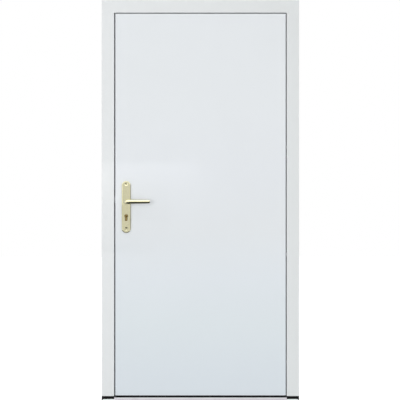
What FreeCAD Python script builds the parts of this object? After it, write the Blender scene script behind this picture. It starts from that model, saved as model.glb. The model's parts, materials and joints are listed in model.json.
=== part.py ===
"""A white steel utility door: a flush leaf that closes into a mitred frame and swings inwards.

Millimetres, +Z up. The outer side, with the pale gold handle to the left, faces -Y. The hinges
are on the inner side at +X. The origin is on the floor, under the middle of the threshold.
"""

import os

import FreeCAD
import Part
from FreeCAD import Vector
from math import asin, cos, degrees, sin

# Frame: one extruded section, mitred at the two head corners
frame_width = 990.0
frame_height = 2005.0
frame_face = 62.0  # width of a jamb or the head as seen from outside
frame_depth = 48.0
rebate_width = 19.0  # step that takes the leaf's flange
rebate_face = 34.0  # depth of the step's face below the outer face
frame_wall = 2.0
reveal_wall = 3.0
frame_edge_radius = 1.2
groove_mouth = 3.0  # seal groove in the step's face
groove_lip = 1.5
groove_pocket = 6.0
groove_depth = 4.5

# Gaps round the leaf
gap_latch = 6.5
gap_hinge = 5.0
gap_head = 5.0
flange_gap = 6.0

# Leaf: an outer tray, an inner tray with a flange, and a core between them
leaf_bottom = 23.0
leaf_thickness = 46.0
flange_thickness = 6.0
sheet = 1.0
sheet_bend = 2.0
core_window = 26.0  # the slot in the core that the handles' bolts, spindle and cylinder pass

# Shoes, packers, threshold and seals
shoe_top = 20.0
shoe_bottom = 5.0
shoe_skirt = 5.0
spigot_height = 22.0
spigot_fit = 0.4
threshold_height = 13.0
threshold_chamfer = 6.0
threshold_wall = 2.5
threshold_rib_pitch = 4.0
threshold_rib_groove = 1.6
threshold_rib_depth = 0.8
soft_fit = 0.3  # a seal at rest stops this short of what it meets
seal_bulb_width = 8.0
seal_bulb_wall = 1.2
sweep_rail_height = 4.0
sweep_lip = 3.0
sweep_set_back = 4.0
sweep_end_gap = 3.0
sweep_wing_inset = 2.0  # the rear lip stops this far inside the flange's edges
sweep_wing_drop = 0.5  # its ends stay this far below the shoes' tops
sweep_wing_lap = 2.5  # but at full height it goes this far behind the jambs

# Lock: mortised into the leaf's latch edge
backset = 55.0
spindle_height = 995.0
cylinder_drop = 72.0
forend_width = 20.0
forend_length = 235.0
forend_rise = 78.0  # top of the forend above the spindle
forend_thickness = 3.0
case_length = 165.0
case_rise = 41.0
case_depth = 87.0
case_thickness = 15.0
case_wall = 1.5
case_fit = 1.0
bolt_thickness = 11.6
bolt_fit = 0.4
latch_height = 32.0
latch_rise = 10.0  # middle of the latch above the spindle
latch_throw = 13.0
latch_body = 28.0
latch_nose = 3.0
dead_bolt_height = 38.0
dead_bolt_drop = 43.0
dead_bolt_throw = 20.0
dead_bolt_body = 38.0
strike_width = 24.0
strike_length = 168.0
strike_rise = 66.0
strike_thickness = 1.5
keep_fit = 1.2

# Profile cylinder and its turning plug
cylinder_radius = 8.5
cylinder_tail_width = 10.0
cylinder_overall = 33.0
cylinder_stand_out = 1.0
cylinder_fit = 0.5
plug_radius = 6.5
plug_fit = 0.08
plug_stand_out = 0.4
cam_reach = 13.0
cam_width = 8.0
cam_thickness = 9.0
cam_clearance = 1.0
keyway_width = 2.4
keyway_rise = 2.5  # top of the keyway above the plug's middle
keyway_depth = 6.0

# Handles
plate_width = 45.0
plate_length = 260.0
plate_rise = 103.0  # top of the plate above the spindle
plate_thickness = 9.0
plate_edge = 3.0
plate_bolt_rise = 88.0
plate_bolt_drop = 136.0
plate_bolt_radius = 2.5
plate_bolt_head = 4.5
plate_bolt_sink = 1.5  # how far a bolt's head lies below its plate's face
plate_bolt_fit = 0.5
spindle_side = 8.0
spindle_fit = 0.1
spindle_reach = 16.0  # into each lever's neck
spindle_hole_radius = 9.0
lever_length = 120.0
lever_stand_out = 52.0  # middle of the grip from the leaf's face
lever_neck_radius = 11.6
lever_neck_fit = 0.5
lever_neck_seat = 5.0  # the neck's depth in the plate
lever_bend = 17.0
lever_end_height = 17.6
lever_end_depth = 11.0
lever_set_back = 4.0  # how far the tip leans back to the leaf
lever_end_edge = 1.6

# Hinges: three knuckles on a pin
hinge_height = 100.0
hinge_knuckle = 30.0
barrel_radius = 8.0
hinge_axis_out = 9.0  # pin axis beyond the frame's inner face
hinge_pin_radius = 3.5
hinge_pin_fit = 0.05
hinge_play = 0.4
hinge_wing = 3.0
hinge_wing_clear = 13.0  # where the flat of a wing begins, from the pin axis
hinge_wing_width = 30.0
hinge_wing_radius = 5.0
hinge_pin_head = 4.0
hinge_edge = 1.5  # chamfer on the barrel's foot and on the pin's head
hinge_floor = 5.0
upper_hinge_from_top = 241.0
lower_hinge_from_bottom = 239.0

# Security pins on the hinge edge, and screw holes through the jambs
security_pin_radius = 5.0
security_pin_reach = 12.0
security_pin_root = 30.0  # how far it goes into the leaf
security_pin_collar = 9.0
security_pin_flange = 1.5
security_pin_fit = 0.2
security_hole_radius = 9.0
security_pin_depth = 17.0
security_pin_count = 2
fixing_radius = 5.25
fixing_depth = 15.0
fixing_from_bottom = 190.0
fixing_from_top = 195.0
fixing_count = 4

# Places that follow from the sizes above, with Y measured from the outer face
opening_half = frame_width / 2 - frame_face
opening_top = frame_height - frame_face
leaf_left = -opening_half + gap_latch
leaf_right = opening_half - gap_hinge
leaf_top = opening_top - gap_head
flange_half = opening_half + rebate_width - flange_gap
flange_top = opening_top + rebate_width - flange_gap
flange_front = leaf_thickness - flange_thickness
lock_plane = leaf_thickness / 2 - 3.0  # middle of the lock's thickness
spindle_x = leaf_left + backset
cylinder_z = spindle_height - cylinder_drop
hinge_axis_x = opening_half + rebate_width - flange_gap / 2
hinge_axis_y = frame_depth + hinge_axis_out
upper_hinge_middle = leaf_top - upper_hinge_from_top
lower_hinge_middle = leaf_bottom + lower_hinge_from_bottom
hinge_spacing = upper_hinge_middle - lower_hinge_middle
security_heights = [
    lower_hinge_middle + hinge_spacing * (i + 1) / (security_pin_count + 1)
    for i in range(security_pin_count)
]
fixing_spacing = (frame_height - fixing_from_bottom - fixing_from_top) / (fixing_count - 1)
to_middle_of_frame = Vector(0, -frame_depth / 2, 0)

os.makedirs("parts", exist_ok=True)


def box(low, high):
    """A box between two corners."""
    size = [b - a for a, b in zip(low, high)]
    return Part.makeBox(*size, Vector(*low))


def rod(radius, start, direction, length):
    """A cylinder from a point, along a direction."""
    return Part.makeCylinder(radius, length, Vector(*start), Vector(*direction))


def face_of(points):
    """A flat face with straight sides."""
    return Part.Face(Part.makePolygon([*points, points[0]]))


def rounded_wire(corners, place):
    """A closed wire of straight runs with arcs at its corners.

    Each corner is (u, v, radius), and place turns (u, v) into a point in space.
    """
    starts, ends, middles = [], [], []
    for i, (u, v, radius) in enumerate(corners):
        here = Vector(u, v, 0)
        before = Vector(*corners[i - 1][:2], 0) - here
        after = Vector(*corners[(i + 1) % len(corners)][:2], 0) - here
        before.normalize()
        after.normalize()
        starts.append(here + before * radius)
        ends.append(here + after * radius)
        bisector = before + after
        bisector.normalize()
        middles.append(here + bisector * radius * (2**0.5 - 1))
    edges = []
    for i, (_, _, radius) in enumerate(corners):
        start, end, middle = (place(p.x, p.y) for p in (starts[i], ends[i], middles[i]))
        if radius > 0:
            edges.append(Part.Arc(start, middle, end).toShape())
        following = starts[(i + 1) % len(corners)]
        edges.append(Part.makeLine(end, place(following.x, following.y)))
    return Part.Wire(edges)


def square_wire(low, high, place):
    """A rectangular wire in (u, v)."""
    corners = [(low[0], low[1]), (high[0], low[1]), (high[0], high[1]), (low[0], high[1])]
    points = [place(u, v) for u, v in corners]
    return Part.makePolygon([*points, points[0]])


def frame_section(place):
    """The frame's section: u runs from the wall to the opening, v from the outer face inwards."""
    step = frame_face - rebate_width
    r = frame_edge_radius
    outline = rounded_wire(
        [
            (0, 0, r),
            (frame_face, 0, r),
            (frame_face, rebate_face, r),
            (step, rebate_face, 0),
            (step, frame_depth, r),
            (0, frame_depth, r),
        ],
        place,
    )
    web = rebate_face - groove_depth - frame_wall
    front = square_wire((frame_wall, frame_wall), (frame_face - reveal_wall, web), place)
    rear = square_wire(
        (frame_wall, web + frame_wall), (step - frame_wall, frame_depth - frame_wall), place
    )
    return Part.Face(outline).cut(Part.Face(front)).cut(Part.Face(rear))


def groove_middle():
    """Where the seal groove's middle lies across the section."""
    return frame_face - rebate_width / 2


def groove_section(place):
    """The T-shaped seal groove, cut from the step's face."""
    middle = groove_middle()
    neck = square_wire(
        (middle - groove_mouth / 2, rebate_face - groove_depth / 2),
        (middle + groove_mouth / 2, rebate_face + 1),
        place,
    )
    pocket = square_wire(
        (middle - groove_pocket / 2, rebate_face - groove_depth),
        (middle + groove_pocket / 2, rebate_face - groove_lip),
        place,
    )
    return Part.Face(neck).fuse(Part.Face(pocket)).removeSplitter()


def seal_section(place):
    """The frame seal: a foot in the groove and a hollow bulb that the flange presses."""
    middle = groove_middle()
    top = flange_front - soft_fit
    half = seal_bulb_width / 2
    fit = 0.2
    foot = square_wire(
        (middle - groove_pocket / 2 + fit, rebate_face - groove_depth + fit),
        (middle + groove_pocket / 2 - fit, rebate_face - groove_lip - fit),
        place,
    )
    neck = square_wire(
        (middle - groove_mouth / 2 + fit, rebate_face - groove_lip - 2 * fit),
        (middle + groove_mouth / 2 - fit, rebate_face + fit),
        place,
    )
    bulb_radius = (top - rebate_face) * 0.45
    bulb = rounded_wire(
        [
            (middle - half, rebate_face, 0.3),
            (middle + half, rebate_face, 0.3),
            (middle + half, top, bulb_radius),
            (middle - half, top, bulb_radius),
        ],
        place,
    )
    inside = half - seal_bulb_wall
    hollow = rounded_wire(
        [
            (middle - inside, rebate_face + seal_bulb_wall, 0.3),
            (middle + inside, rebate_face + seal_bulb_wall, 0.3),
            (middle + inside, top - seal_bulb_wall, 1.2),
            (middle - inside, top - seal_bulb_wall, 1.2),
        ],
        place,
    )
    whole = Part.Face(bulb).fuse([Part.Face(neck), Part.Face(foot)]).removeSplitter()
    return whole.cut(Part.Face(hollow))


def jamb_place(side):
    """Puts a section flat at the jamb's foot: side is -1 for the latch side, 1 for the hinge side."""
    return lambda u, v: Vector(side * (frame_width / 2 - u), v, shoe_top)


def head_place(u, v):
    """Puts a section at the head's left end."""
    return Vector(-frame_width / 2, v, frame_height - u)


def head_prism():
    """The head's room: a block with a 45 degree end at each corner of the frame."""
    extra = 1.0
    points = [
        Vector(-frame_width / 2 - extra, -extra, frame_height + extra),
        Vector(frame_width / 2 + extra, -extra, frame_height + extra),
        Vector(opening_half - extra, -extra, opening_top - extra),
        Vector(-opening_half + extra, -extra, opening_top - extra),
    ]
    return face_of(points).extrude(Vector(0, frame_depth + 2 * extra, 0))


def along_jamb(section, side):
    """A section run up a jamb and cut to the mitre."""
    long = section(jamb_place(side)).extrude(Vector(0, 0, frame_height - shoe_top))
    return long.cut(head_prism())


def along_head(section):
    """A section run along the head and cut to both mitres."""
    return section(head_place).extrude(Vector(frame_width, 0, 0)).common(head_prism())


def fixing_holes(side):
    """The screw holes through both side walls of a jamb."""
    start = side * (frame_width / 2 + 1)
    return [
        rod(
            fixing_radius,
            (start, fixing_depth, fixing_from_bottom + i * fixing_spacing),
            (-side, 0, 0),
            frame_face + 2,
        )
        for i in range(fixing_count)
    ]


def strike_span():
    """Lowest and highest point of the strike plate."""
    top = spindle_height + strike_rise
    return top - strike_length, top


def keep_holes(depth_low, depth_high):
    """The two mouths in strike and jamb for the latch and the dead bolt, in an X range."""
    half = bolt_thickness / 2 + keep_fit
    mouths = []
    for middle, height in (
        (spindle_height + latch_rise, latch_height),
        (spindle_height - dead_bolt_drop, dead_bolt_height),
    ):
        mouths.append(
            box(
                (depth_low, lock_plane - half, middle - height / 2 - keep_fit),
                (depth_high, lock_plane + half, middle + height / 2 + keep_fit),
            )
        )
    return mouths


def latch_jamb():
    """The jamb that takes the strike."""
    low, high = strike_span()
    pocket = box(
        (-opening_half - strike_thickness, lock_plane - strike_width / 2, low),
        (-opening_half + 1, lock_plane + strike_width / 2, high),
    )
    mouths = keep_holes(-opening_half - reveal_wall - 1, -opening_half + 1)
    jamb = along_jamb(frame_section, -1).cut(along_jamb(groove_section, -1))
    return jamb.cut([pocket, *mouths, *fixing_holes(-1)])


def hinge_jamb():
    """The jamb that carries the hinges."""
    holes = [
        rod(
            security_hole_radius,
            (opening_half - 1, security_pin_depth, z),
            (1, 0, 0),
            reveal_wall + 2,
        )
        for z in security_heights
    ]
    jamb = along_jamb(frame_section, 1).cut(along_jamb(groove_section, 1))
    return jamb.cut([*holes, *fixing_holes(1)])


def frame_head():
    """The frame's top member."""
    return along_head(frame_section).cut(along_head(groove_section))


def frame_outline_block(side, low, high, skirt=0.0):
    """The frame's outline as a solid block under a jamb, from low to high."""
    step = frame_face - rebate_width
    place = jamb_place(side)
    corners = [
        (skirt, 0, frame_edge_radius),
        (frame_face, 0, frame_edge_radius),
        (frame_face, rebate_face, 0),
        (step, rebate_face, 0),
        (step, frame_depth, frame_edge_radius),
        (skirt, frame_depth, frame_edge_radius),
    ]
    block = Part.Face(rounded_wire(corners, place)).extrude(Vector(0, 0, high - low))
    block.translate(Vector(0, 0, low - shoe_top))
    return block


def jamb_shoe(side):
    """The black shoe that closes a jamb's foot, with spigots up its two chambers."""
    body = frame_outline_block(side, shoe_bottom, shoe_top)
    skirt = box((0, 0, 0), (shoe_skirt, frame_depth, shoe_bottom + 1))
    web = rebate_face - groove_depth - frame_wall
    fit = spigot_fit
    front = box(
        (frame_wall + fit, frame_wall + fit, shoe_top - 1),
        (frame_face - reveal_wall - fit, web - fit, shoe_top + spigot_height),
    )
    rear = box(
        (frame_wall + fit, web + frame_wall + fit, shoe_top - 1),
        (frame_face - rebate_width - frame_wall - fit, frame_depth - frame_wall - fit,
         shoe_top + spigot_height),
    )
    extra = skirt.fuse([front, rear])
    if side > 0:
        extra = extra.mirror(Vector(0, 0, 0), Vector(1, 0, 0))
    extra.translate(Vector(side * frame_width / 2, 0, 0))
    return body.fuse(extra).removeSplitter()


def packer(side):
    """The pale packer that the shoe stands on, inside its skirt."""
    return frame_outline_block(side, 0, shoe_bottom, shoe_skirt)


def threshold():
    """The ribbed threshold between the shoes, hollow, with its front edge chamfered."""
    h, c, w = threshold_height, threshold_chamfer, threshold_wall
    half = opening_half + rebate_width
    outline = [(0, 0), (0, h - c), (c, h), (frame_depth, h), (frame_depth, 0)]
    bar = face_of([Vector(-half, y, z) for y, z in outline]).extrude(Vector(2 * half, 0, 0))
    middle = frame_depth / 2
    cells = [
        [(w, w), (w, h - c - 1), (c + 1, h - w), (middle - w / 2, h - w), (middle - w / 2, w)],
        [
            (middle + w / 2, w),
            (middle + w / 2, h - w),
            (frame_depth - w, h - w),
            (frame_depth - w, w),
        ],
    ]
    for cell in cells:
        points = [Vector(-half, y, z) for y, z in cell]
        bar = bar.cut(face_of(points).extrude(Vector(2 * half, 0, 0)))
    y = threshold_chamfer + threshold_rib_pitch
    grooves = []
    while y < frame_depth - threshold_rib_pitch:
        grooves.append(
            box((-half, y, h - threshold_rib_depth), (half, y + threshold_rib_groove, h + 1))
        )
        y += threshold_rib_pitch
    corners = [
        box((-half - 1, -1, -1), (-opening_half, rebate_face, h + 1)),
        box((opening_half, -1, -1), (half + 1, rebate_face, h + 1)),
    ]
    return bar.cut(grooves + corners)


def strike_plate():
    """The flush steel strike with its two mouths."""
    low, high = strike_span()
    plate = box(
        (-opening_half - strike_thickness, lock_plane - strike_width / 2, low),
        (-opening_half, lock_plane + strike_width / 2, high),
    )
    return plate.cut(keep_holes(-opening_half - strike_thickness - 1, -opening_half + 1))


def leaf_openings():
    """Everything that passes through the leaf's faces: spindle, cylinder and plate bolts."""
    start = -1
    length = leaf_thickness + 2
    holes = [
        rod(spindle_hole_radius, (spindle_x, start, spindle_height), (0, 1, 0), length),
        cylinder_outline(cylinder_fit, start, length),
    ]
    for z in (spindle_height + plate_bolt_rise, spindle_height - plate_bolt_drop):
        holes.append(
            rod(plate_bolt_radius + plate_bolt_fit, (spindle_x, start, z), (0, 1, 0), length)
        )
    return holes


def forend_span():
    """Lowest and highest point of the forend."""
    top = spindle_height + forend_rise
    return top - forend_length, top


def forend_block(fit=0.0, depth=forend_thickness):
    """The forend's outline as a block let into the leaf's latch edge."""
    low, high = forend_span()
    half = forend_width / 2
    return box(
        (leaf_left, lock_plane - half - fit, low - fit),
        (leaf_left + depth, lock_plane + half + fit, high + fit),
    )


def pin_sockets():
    """The holes in the leaf's hinge edge for the security pins."""
    radius = security_pin_radius + security_pin_fit
    return [
        rod(radius, (leaf_right + 1, security_pin_depth, z), (-1, 0, 0), security_pin_root + 1)
        for z in security_heights
    ]


def outer_skin():
    """The outer steel tray, with its edges folded back to the flange."""
    tray = box((leaf_left, 0, leaf_bottom), (leaf_right, flange_front, leaf_top))
    front = [e for e in tray.Edges if all(abs(v.Point.y) < 1e-6 for v in e.Vertexes)]
    tray = tray.makeFillet(sheet_bend, front)
    inside = box(
        (leaf_left + sheet, sheet, leaf_bottom + sheet),
        (leaf_right - sheet, flange_front + 1, leaf_top - sheet),
    )
    near = [e for e in inside.Edges if all(abs(v.Point.y - sheet) < 1e-6 for v in e.Vertexes)]
    inside = inside.makeFillet(sheet_bend - sheet, near)
    return tray.cut([inside, forend_block(), *pin_sockets(), *leaf_openings()])


def inner_skin():
    """The inner steel tray, wider than the leaf's body by the flange."""
    tray = box(
        (-flange_half, flange_front, leaf_bottom), (flange_half, leaf_thickness, flange_top)
    )
    back = [
        e for e in tray.Edges if all(abs(v.Point.y - leaf_thickness) < 1e-6 for v in e.Vertexes)
    ]
    tray = tray.makeFillet(sheet_bend, back)
    inside = box(
        (-flange_half + sheet, flange_front + sheet, leaf_bottom + sheet),
        (flange_half - sheet, leaf_thickness - sheet, flange_top - sheet),
    )
    mouth = box(
        (leaf_left + sheet, flange_front - 1, leaf_bottom + sheet),
        (leaf_right - sheet, flange_front + sheet, leaf_top - sheet),
    )
    return tray.cut([inside, mouth, *leaf_openings()])


def leaf_core():
    """The light core that fills the two trays, cut away round the lock."""
    body = box(
        (leaf_left + sheet, sheet, leaf_bottom + sheet),
        (leaf_right - sheet, flange_front + sheet, leaf_top - sheet),
    )
    near = [e for e in body.Edges if all(abs(v.Point.y - sheet) < 1e-6 for v in e.Vertexes)]
    body = body.makeFillet(sheet_bend - sheet, near)
    wide = box(
        (-flange_half + sheet, flange_front + sheet, leaf_bottom + sheet),
        (flange_half - sheet, leaf_thickness - sheet, flange_top - sheet),
    )
    low, high = case_span()
    half = case_thickness / 2
    pocket = box(
        (leaf_left, lock_plane - half - case_fit, low - case_fit),
        (leaf_left + case_depth + case_fit, lock_plane + half + case_fit, high + case_fit),
    )
    window = box(
        (spindle_x - core_window / 2, 0, spindle_height - plate_bolt_drop - core_window / 3),
        (spindle_x + core_window / 2, leaf_thickness,
         spindle_height + plate_bolt_rise + core_window / 3),
    )
    return body.fuse(wide).cut([pocket, window, forend_block(), *pin_sockets()])


def bottom_seal():
    """The black sweep under the leaf: a rail with two lips that end just above the threshold.

    The rear lip is as wide as the flange and passes behind the shoes.
    """
    front = sweep_set_back
    back = rebate_face + soft_fit + sweep_lip
    tip = threshold_height + soft_fit
    rail = leaf_bottom - sweep_rail_height
    outline = [
        (front, leaf_bottom),
        (front, tip),
        (front + sweep_lip, tip),
        (front + sweep_lip + 1, rail),
        (back - sweep_lip - 1, rail),
        (back - sweep_lip, tip),
        (back, tip),
        (back, leaf_bottom),
    ]
    start = leaf_left + sweep_end_gap
    points = [Vector(start, y, z) for y, z in outline]
    sweep = face_of(points).extrude(Vector(leaf_right - sweep_end_gap - start, 0, 0))
    wings = []
    for half, top in (
        (flange_half - sweep_wing_inset, shoe_top - sweep_wing_drop),
        (opening_half + sweep_wing_lap, leaf_bottom),
    ):
        wings.append(box((-half, back - sweep_lip, tip), (half, back, top)))
    return sweep.fuse(wings).removeSplitter()


def case_span():
    """Lowest and highest point of the lock case."""
    top = spindle_height + case_rise
    return top - case_length, top


def bolt_slots(fit, start, end):
    """The slots that the latch and the dead bolt slide in, in an X range."""
    half = bolt_thickness / 2 + fit
    slots = []
    for middle, height in (
        (spindle_height + latch_rise, latch_height),
        (spindle_height - dead_bolt_drop, dead_bolt_height),
    ):
        slots.append(
            box(
                (start, lock_plane - half, middle - height / 2 - fit),
                (end, lock_plane + half, middle + height / 2 + fit),
            )
        )
    return slots


def lock_forend():
    """The faceplate on the leaf's edge."""
    plate = forend_block()
    return plate.cut(bolt_slots(bolt_fit, leaf_left - 1, leaf_left + forend_thickness + 1))


def lock_case():
    """The folded case behind the forend, open to it, with the spindle and cylinder holes."""
    low, high = case_span()
    half = case_thickness / 2
    start = leaf_left + forend_thickness
    end = leaf_left + case_depth
    shell = box((start, lock_plane - half, low), (end, lock_plane + half, high))
    inside = box(
        (start - 1, lock_plane - half + case_wall, low + case_wall),
        (end - case_wall, lock_plane + half - case_wall, high - case_wall),
    )
    return shell.cut([inside, *leaf_openings()])


def cylinder_outline(fit, start, length):
    """The euro profile: a round top with a narrower rounded tail, run along Y."""
    tail_radius = cylinder_tail_width / 2 + fit
    bottom = cylinder_z + cylinder_radius - cylinder_overall + cylinder_tail_width / 2
    round_top = rod(cylinder_radius + fit, (spindle_x, start, cylinder_z), (0, 1, 0), length)
    round_end = rod(tail_radius, (spindle_x, start, bottom), (0, 1, 0), length)
    tail = box(
        (spindle_x - tail_radius, start, bottom),
        (spindle_x + tail_radius, start + length, cylinder_z),
    )
    return round_top.fuse([round_end, tail]).removeSplitter()


def lock_cylinder():
    """The fixed body of the profile cylinder, bored for its plug and gapped for the cam."""
    stand_out = plate_thickness + cylinder_stand_out
    length = leaf_thickness + 2 * stand_out
    body = cylinder_outline(0, -stand_out, length)
    bore = rod(plug_radius + plug_fit, (spindle_x, -stand_out - 1, cylinder_z), (0, 1, 0),
               length + 2)
    half = cam_thickness / 2 + cam_clearance / 2
    swept = cam_reach + cam_clearance
    gap = box(
        (spindle_x - swept, lock_plane - half, cylinder_z - swept),
        (spindle_x + swept, lock_plane + half, cylinder_z + swept),
    )
    return body.cut([bore, gap])


def key_plug():
    """The turning plug with a keyway at each end, open below, and its cam in the middle."""
    start = -plate_thickness - cylinder_stand_out - plug_stand_out
    end = leaf_thickness - start
    plug = rod(plug_radius, (spindle_x, start, cylinder_z), (0, 1, 0), end - start)
    cam = box(
        (spindle_x - cam_width / 2, lock_plane - cam_thickness / 2, cylinder_z - cam_reach),
        (spindle_x + cam_width / 2, lock_plane + cam_thickness / 2, cylinder_z),
    ).common(
        rod(cam_reach, (spindle_x, lock_plane - cam_thickness / 2, cylinder_z), (0, 1, 0),
            cam_thickness)
    )
    keyways = []
    for y in (start - 1, end - keyway_depth):
        keyways.append(
            box(
                (spindle_x - keyway_width / 2, y, cylinder_z - plug_radius - 1),
                (spindle_x + keyway_width / 2, y + keyway_depth + 1, cylinder_z + keyway_rise),
            )
        )
    return plug.fuse(cam).cut(keyways).removeSplitter()


def latch_bolt():
    """The spring latch, flat towards the inside and curved where it meets the strike."""
    half = bolt_thickness / 2
    back = leaf_left + latch_body
    tip = leaf_left - latch_throw
    root = leaf_left - 1
    low_y, high_y = lock_plane - half, lock_plane + half
    bow = Vector((root + tip) / 2 - 2, (low_y + high_y - latch_nose) / 2 - 2, 0)
    edges = [
        Part.makeLine(Vector(back, low_y, 0), Vector(root, low_y, 0)),
        Part.Arc(Vector(root, low_y, 0), bow, Vector(tip, high_y - latch_nose, 0)).toShape(),
        Part.makeLine(Vector(tip, high_y - latch_nose, 0), Vector(tip, high_y, 0)),
        Part.makeLine(Vector(tip, high_y, 0), Vector(back, high_y, 0)),
        Part.makeLine(Vector(back, high_y, 0), Vector(back, low_y, 0)),
    ]
    bolt = Part.Face(Part.Wire(edges)).extrude(Vector(0, 0, latch_height))
    bolt.translate(Vector(0, 0, spindle_height + latch_rise - latch_height / 2))
    return bolt


def dead_bolt():
    """The dead bolt, drawn back so that its face stands just proud of the forend."""
    half = bolt_thickness / 2
    middle = spindle_height - dead_bolt_drop
    bolt = box(
        (leaf_left - 0.5, lock_plane - half, middle - dead_bolt_height / 2),
        (leaf_left + dead_bolt_body, lock_plane + half, middle + dead_bolt_height / 2),
    )
    front = [
        e for e in bolt.Edges if all(abs(v.Point.x - leaf_left + 0.5) < 1e-6 for v in e.Vertexes)
    ]
    return bolt.makeChamfer(0.8, front)


def plate_outline(start, thickness):
    """A handle plate's blank: straight sides and half-round ends."""
    radius = plate_width / 2
    top = spindle_height + plate_rise - radius
    bottom = spindle_height + plate_rise - plate_length + radius
    middle = box(
        (spindle_x - radius, start, bottom), (spindle_x + radius, start + thickness, top)
    )
    ends = [rod(radius, (spindle_x, start, z), (0, 1, 0), thickness) for z in (top, bottom)]
    return middle.fuse(ends).removeSplitter()


def inside_of(shape):
    """The same thing on the leaf's inner face, turned over about the leaf's mid plane."""
    return shape.mirror(Vector(0, leaf_thickness / 2, 0), Vector(0, 1, 0))


def handle_plate():
    """The outer handle plate with its bevelled edge, bored for neck, cylinder and bolts."""
    plate = plate_outline(-plate_thickness, plate_thickness)
    rim = [
        e for e in plate.Edges if all(abs(v.Point.y + plate_thickness) < 1e-6 for v in e.Vertexes)
    ]
    plate = plate.makeChamfer(plate_edge, rim)
    start = -plate_thickness - 1
    length = plate_thickness + 2
    bores = [
        rod(lever_neck_radius + lever_neck_fit, (spindle_x, start, spindle_height), (0, 1, 0),
            lever_neck_seat + 2),
        rod(spindle_hole_radius, (spindle_x, start, spindle_height), (0, 1, 0), length),
        cylinder_outline(cylinder_fit, start, length),
    ]
    for z in (spindle_height + plate_bolt_rise, spindle_height - plate_bolt_drop):
        bores.append(plate_bolt_hole(z))
    return plate.cut(bores)


def plate_bolt_hole(z):
    """A clearance hole with a countersink for one plate bolt."""
    fit = plate_bolt_fit
    shank, mouth = plate_bolt_radius + fit, plate_bolt_head + fit + plate_bolt_sink
    outline = [
        (0, 1),
        (shank, 1),
        (shank, -plate_thickness + mouth - shank),
        (mouth, -plate_thickness),
        (mouth, -plate_thickness - 1),
        (0, -plate_thickness - 1),
    ]
    points = [Vector(spindle_x + r, y, z) for r, y in outline]
    return face_of(points).revolve(Vector(spindle_x, 0, z), Vector(0, 1, 0), 360)


def plate_bolts():
    """The two bolts that clamp the plates to each other through the leaf."""
    shank, head = plate_bolt_radius, plate_bolt_head
    front = -plate_thickness + plate_bolt_sink
    back = leaf_thickness - front
    bolts = []
    for z in (spindle_height + plate_bolt_rise, spindle_height - plate_bolt_drop):
        outline = [
            (0, front),
            (head, front),
            (shank, front + head - shank),
            (shank, back - head + shank),
            (head, back),
            (0, back),
        ]
        points = [Vector(spindle_x + r, y, z) for r, y in outline]
        bolts.append(face_of(points).revolve(Vector(spindle_x, 0, z), Vector(0, 1, 0), 360))
    return Part.makeCompound(bolts)


def lever():
    """The outer lever: a round neck, a bend, and a grip that tapers, flattens and leans back."""
    seat = -plate_thickness + lever_neck_seat
    bend_y = -lever_stand_out + lever_bend
    lean = asin(lever_set_back / (lever_length - lever_bend))
    start = Vector(spindle_x, bend_y, spindle_height)
    pivot = start + Vector(lever_bend, 0, 0)
    neck = rod(lever_neck_radius, (spindle_x, seat, spindle_height), (0, -1, 0), seat - bend_y)
    disc = Part.Face(Part.Wire(Part.Circle(start, Vector(0, 1, 0), lever_neck_radius).toShape()))
    bend = disc.revolve(pivot, Vector(0, 0, 1), 90 + degrees(lean))
    along = Vector(cos(lean), sin(lean), 0)
    across = Vector(-sin(lean), cos(lean), 0)
    root = pivot - across * lever_bend
    reach = (spindle_x + lever_length - root.x) / cos(lean)
    tip = root + along * reach
    end_radius = lever_end_height / 2
    grip = Part.makeCone(lever_neck_radius, end_radius, reach, root, along)
    nose_radius = end_radius - lever_end_edge
    nose = Part.makeCone(nose_radius + reach, nose_radius, reach, root, along)
    flats = face_of(
        [
            root - across * lever_neck_radius,
            tip - across * lever_end_depth / 2,
            tip + across * lever_end_depth / 2,
            root + across * lever_neck_radius,
        ]
    ).extrude(Vector(0, 0, 2 * lever_neck_radius))
    flats.translate(Vector(0, 0, -lever_neck_radius))
    half = spindle_side / 2 + spindle_fit
    socket = box(
        (spindle_x - half, seat - spindle_reach - 1, spindle_height - half),
        (spindle_x + half, seat + 1, spindle_height + half),
    )
    whole = neck.fuse([bend, grip.common(nose).common(flats)]).removeSplitter()
    return whole.cut(socket)


def spindle():
    """The square bar that joins the two levers through the lock."""
    half = spindle_side / 2
    end = plate_thickness - lever_neck_seat + spindle_reach
    return box(
        (spindle_x - half, -end, spindle_height - half),
        (spindle_x + half, leaf_thickness + end, spindle_height + half),
    )


def wing(low, high, start, end, plane):
    """A flat hinge wing between two X values, with two round free corners."""
    plate = box((start, plane, low), (end, plane + hinge_wing, high))
    free = [
        e
        for e in plate.Edges
        if all(abs(v.Point.x - (start if start < hinge_axis_x else end)) < 1e-6
               for v in e.Vertexes)
        and abs(e.Vertexes[0].Point.y - e.Vertexes[1].Point.y) > 1e-6
    ]
    return plate.makeFillet(hinge_wing_radius, free)


def knuckle(low, high):
    """One length of the hinge barrel."""
    return rod(barrel_radius, (hinge_axis_x, hinge_axis_y, low), (0, 0, 1), high - low)


def pin_bore(low, high):
    """The hole for the hinge pin."""
    return rod(
        hinge_pin_radius + hinge_pin_fit, (hinge_axis_x, hinge_axis_y, low), (0, 0, 1),
        high - low
    )


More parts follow.
